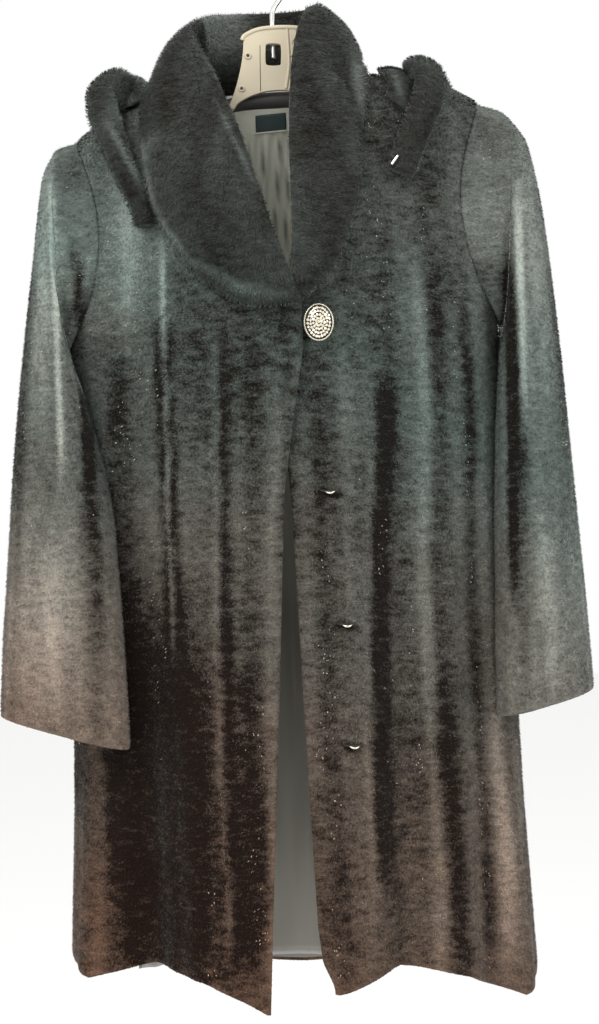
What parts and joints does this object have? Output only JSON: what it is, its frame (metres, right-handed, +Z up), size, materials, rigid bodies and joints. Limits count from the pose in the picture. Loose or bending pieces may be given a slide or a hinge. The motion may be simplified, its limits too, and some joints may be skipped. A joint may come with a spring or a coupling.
{
  "type": "fur coat on a hanger",
  "caption": "Long sheared-fur coat with shawl collar, thrown-back hood and one jewelled button, hanging open at the hem on a plain moulded hanger.",
  "frame": {"origin": "inside top of the hanger's hook, where it bears on a rail", "axes": "+Z up, the coat's front faces -Y, +X is the wearer's left and the right of the picture"},
  "size_m": [0.614, 0.2858, 1.0916],
  "materials": {
    "sheared_fur": "short sheared pile, grey-brown with a teal cast",
    "long_fur": "dense dark plush pile",
    "lining": "grey satin",
    "label": "plain dark woven",
    "metal": "pale polished metal",
    "stone": "clear faceted champagne stones",
    "cord": "dark elastic cord",
    "hanger": "satin beige-grey moulding",
    "hook_wire": "plain bent wire"
  },
  "bodies": {
    "root": {"front_right": "sheared_fur", "front_left": "sheared_fur", "back": "sheared_fur", "sleeve_right": "sheared_fur", "sleeve_left": "sheared_fur", "hood": "sheared_fur", "collar": "long_fur", "hood_band": "long_fur", "lining_back": "lining", "neck_label": "label", "button_setting": "metal", "button_stone": "stone", "button_loop": "cord", "eye_top": "metal", "eye_middle": "metal", "eye_low": "metal", "hood_hook": "metal", "hanger_arms": "hanger", "hanger_plate": "hanger", "hanger_hook": "hook_wire"}
  },
  "joints": []
}
